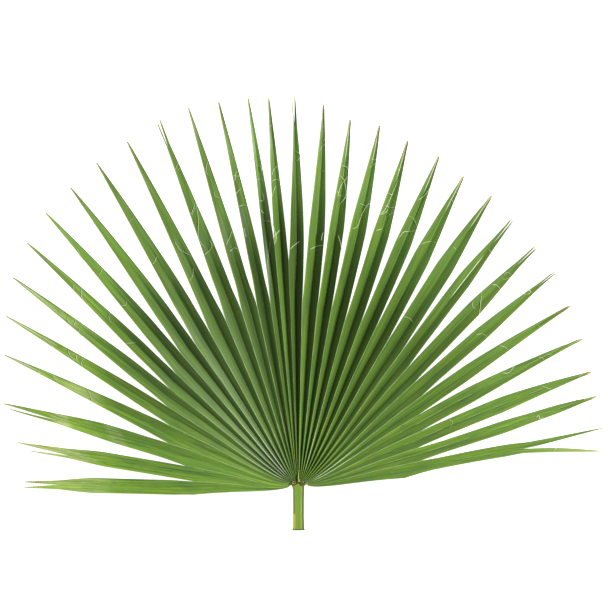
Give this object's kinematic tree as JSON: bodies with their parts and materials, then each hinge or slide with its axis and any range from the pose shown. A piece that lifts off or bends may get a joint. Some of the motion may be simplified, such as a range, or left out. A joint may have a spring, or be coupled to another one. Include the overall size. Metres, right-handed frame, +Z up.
{
  "type": "fan palm leaf",
  "caption": "Cut fan palm leaf lying flat: a pleated half-round fan with long free pointed segments, on a short cut stalk with a small brown flap at its head.",
  "frame": {"origin": "bottom centre of the whole leaf's box, on the surface that the leaf lies on", "axes": "+X across the fan to its right, +Y from the cut stalk towards the middle tips, +Z up, out of the leaf's upper side"},
  "size_m": [0.8972, 0.6506, 0.0394],
  "materials": {
    "leaf_green": "satin",
    "stalk_green": "satin",
    "flap_brown": "matte"
  },
  "bodies": {
    "root": {"blade": "leaf_green", "petiole": "stalk_green", "hastula": "flap_brown"}
  },
  "joints": []
}
